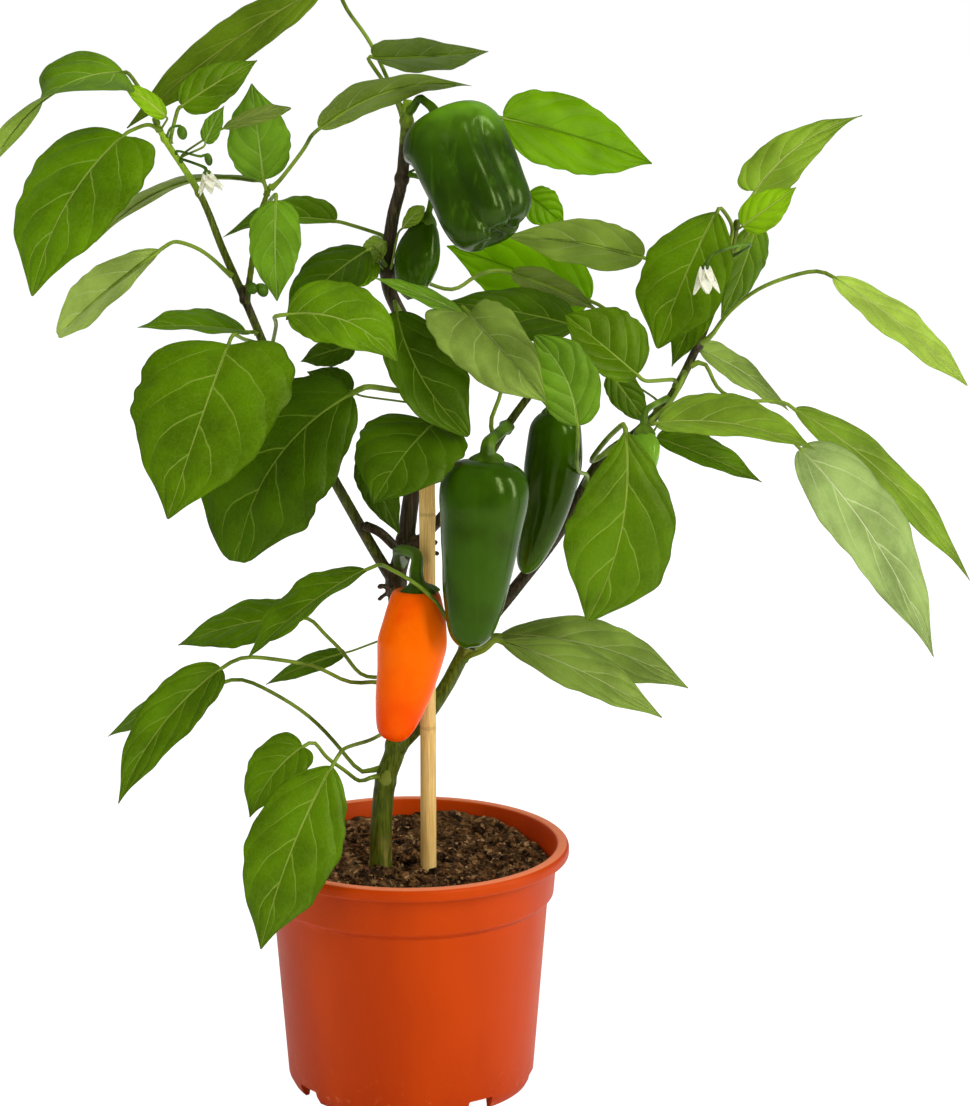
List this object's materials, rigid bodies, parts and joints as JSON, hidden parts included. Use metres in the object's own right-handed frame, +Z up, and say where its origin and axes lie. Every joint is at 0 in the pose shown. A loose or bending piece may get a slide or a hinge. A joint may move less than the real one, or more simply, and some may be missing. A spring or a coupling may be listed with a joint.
{
  "type": "potted sweet pepper plant",
  "caption": "Fruiting sweet pepper plant on a forked green stem with leaves, hanging peppers and a cane, standing in a round plastic nursery pot of soil.",
  "frame": {"origin": "centre of the pot's base, on the surface it stands on", "axes": "+Z up along the pot's axis, +X to the right and -Y towards the viewer of the plant's front"},
  "size_m": [0.5094, 0.1898, 0.581],
  "materials": {
    "pot_plastic": "moulded terracotta-orange plastic, softly shiny",
    "soil": null,
    "bamboo": "pale dry bamboo cane",
    "stem_green": "ridged green stem, purple at its nodes and woody at its foot",
    "leaf_green": null,
    "pepper_green": "smooth waxy dark green fruit skin",
    "pepper_orange": "smooth waxy orange fruit skin",
    "petal_white": "thin white petals"
  },
  "bodies": {
    "root": {"bell_pepper": "pepper_green", "bell_pepper_stalk": "stem_green", "cane": "bamboo", "curved_pepper": "pepper_green", "curved_pepper_stalk": "stem_green", "flower_left": "petal_white", "flower_right": "petal_white", "leaf_left_1": "leaf_green", "leaf_left_2": "leaf_green", "leaf_left_3": "leaf_green", "leaf_left_4": "leaf_green", "leaf_left_5": "leaf_green", "leaf_left_6": "leaf_green", "leaf_left_7": "leaf_green", "leaf_low_1": "leaf_green", "leaf_low_2": "leaf_green", "leaf_low_3": "leaf_green", "leaf_low_4": "leaf_green", "leaf_main_1": "leaf_green", "leaf_main_10": "leaf_green", "leaf_main_11": "leaf_green", "leaf_main_12": "leaf_green", "leaf_main_2": "leaf_green", "leaf_main_3": "leaf_green", "leaf_main_4": "leaf_green", "leaf_main_5": "leaf_green", "leaf_main_6": "leaf_green", "leaf_main_7": "leaf_green", "leaf_main_8": "leaf_green", "leaf_main_9": "leaf_green", "leaf_middle_1": "leaf_green", "leaf_middle_2": "leaf_green", "leaf_middle_3": "leaf_green", "leaf_middle_4": "leaf_green", "leaf_right_1": "leaf_green", "leaf_right_10": "leaf_green", "leaf_right_11": "leaf_green", "leaf_right_12": "leaf_green", "leaf_right_13": "leaf_green", "leaf_right_2": "leaf_green", "leaf_right_3": "leaf_green", "leaf_right_4": "leaf_green", "leaf_right_5": "leaf_green", "leaf_right_6": "leaf_green", "leaf_right_7": "leaf_green", "leaf_right_8": "leaf_green", "leaf_right_9": "leaf_green", "leaf_shoot_1": "leaf_green", "leaf_shoot_2": "leaf_green", "leaf_shoot_3": "leaf_green", "leaf_shoot_4": "leaf_green", "long_pepper": "pepper_green", "long_pepper_stalk": "stem_green", "orange_pepper": "pepper_orange", "orange_pepper_stalk": "stem_green", "pot": "pot_plastic", "small_pepper": "pepper_green", "soil": "soil", "stem": "stem_green", "young_pepper": "pepper_green"}
  },
  "joints": []
}
